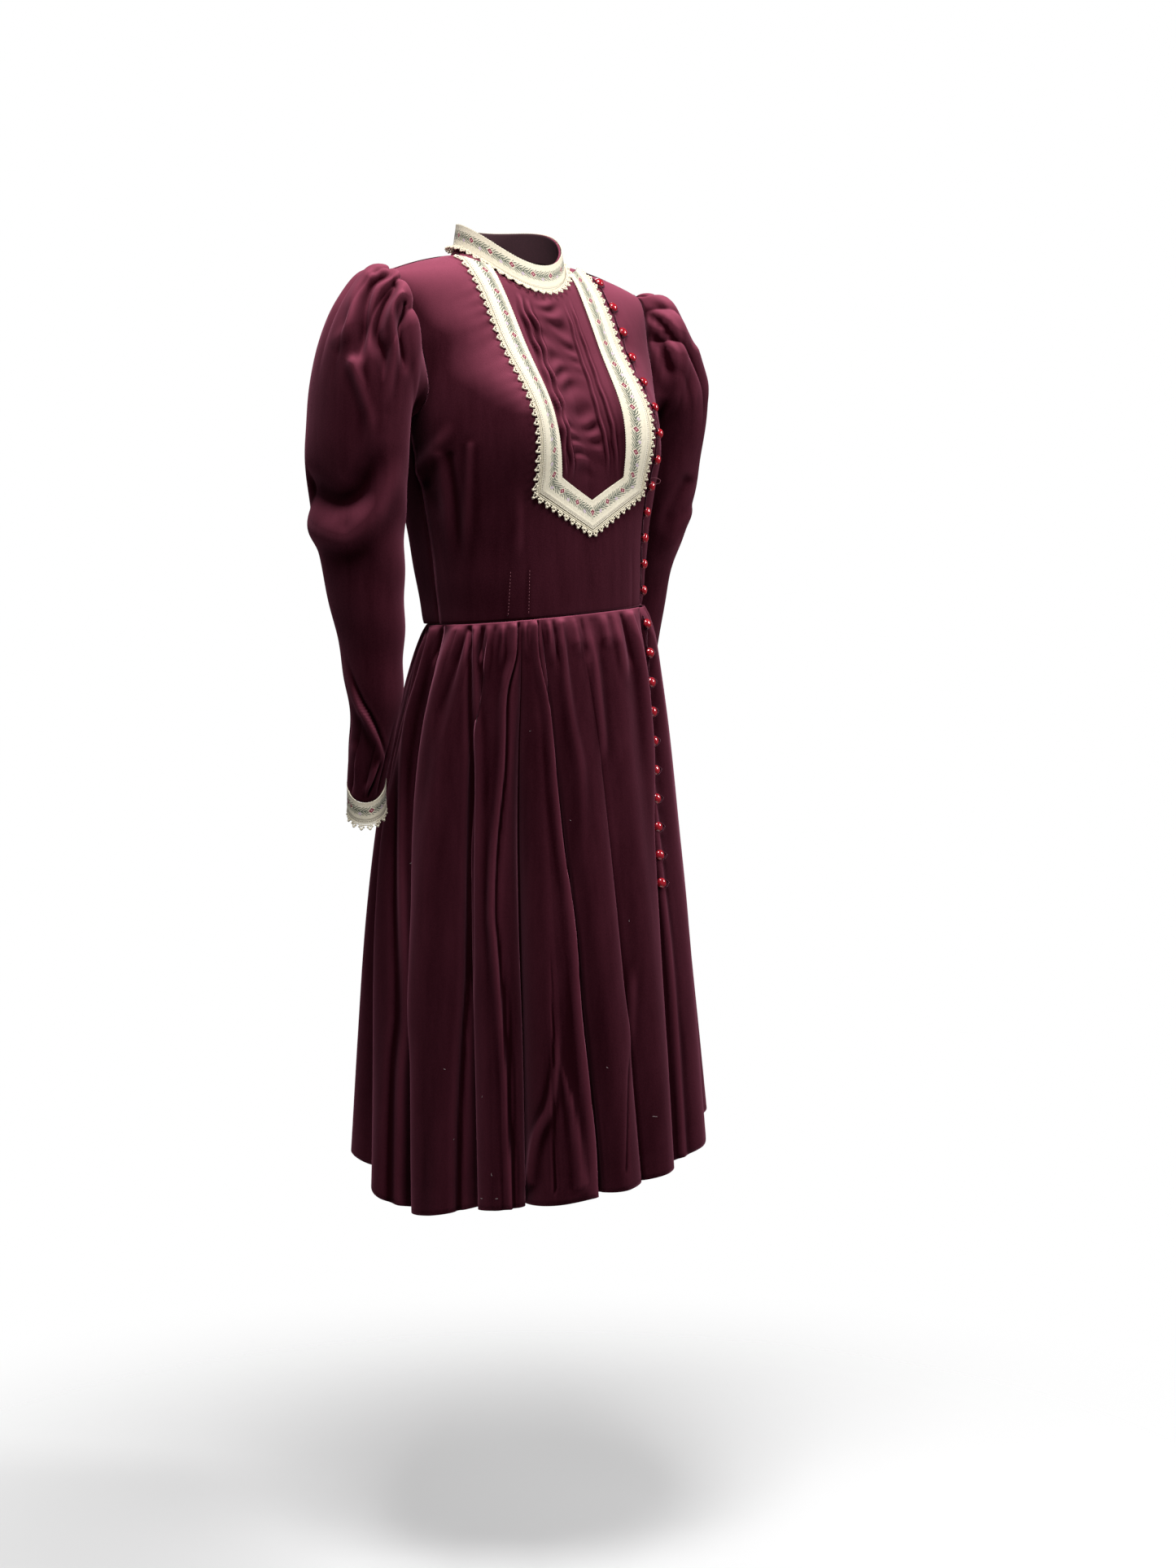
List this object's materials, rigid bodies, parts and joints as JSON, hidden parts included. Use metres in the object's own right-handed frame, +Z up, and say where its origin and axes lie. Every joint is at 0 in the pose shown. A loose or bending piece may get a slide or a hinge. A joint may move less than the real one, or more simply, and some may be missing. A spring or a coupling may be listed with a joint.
{
  "type": "prairie dress",
  "caption": "Long-sleeved velvet dress with puffed sleeve caps, gathered skirt, woven ribbon bib, collar and cuffs, and a side row of glass buttons.",
  "frame": {"origin": "middle of the wearer's shoulders at the base of the neck, where the dress hangs", "axes": "+Z up, -Y towards the front of the dress, +X towards the wearer's left side"},
  "size_m": [0.5384, 0.3882, 1.0844],
  "materials": {
    "velvet": "burgundy cotton velvet with a short matt nap and a soft sheen",
    "woven_ribbon": "cream jacquard ribbon with a woven leaf and flower vine",
    "cotton_picot": "cream cotton picot edging",
    "button_glass": "glossy deep red faceted glass"
  },
  "bodies": {
    "root": {"bodice_front": "velvet", "bodice_front_left": "velvet", "bodice_back": "velvet", "skirt_front": "velvet", "skirt_front_left": "velvet", "skirt_back": "velvet", "sleeve_left": "velvet", "sleeve_right": "velvet", "collar_band": "velvet", "tuck_1": "velvet", "tuck_2": "velvet", "tuck_3": "velvet", "tuck_4": "velvet", "loops_bodice": "velvet", "loops_skirt": "velvet", "collar_ribbon": "woven_ribbon", "bib_ribbon": "woven_ribbon", "cuff_ribbon_left": "woven_ribbon", "cuff_ribbon_right": "woven_ribbon", "collar_picot": "cotton_picot", "bib_picot": "cotton_picot", "cuff_picot_left": "cotton_picot", "cuff_picot_right": "cotton_picot", "button_01": "button_glass", "button_02": "button_glass", "button_03": "button_glass", "button_04": "button_glass", "button_05": "button_glass", "button_06": "button_glass", "button_07": "button_glass", "button_08": "button_glass", "button_09": "button_glass", "button_10": "button_glass", "button_11": "button_glass", "button_12": "button_glass", "button_13": "button_glass", "button_14": "button_glass", "button_15": "button_glass", "button_16": "button_glass", "button_17": "button_glass", "button_18": "button_glass", "button_19": "button_glass", "button_20": "button_glass", "button_21": "button_glass", "button_22": "button_glass", "button_23": "button_glass"}
  },
  "joints": []
}
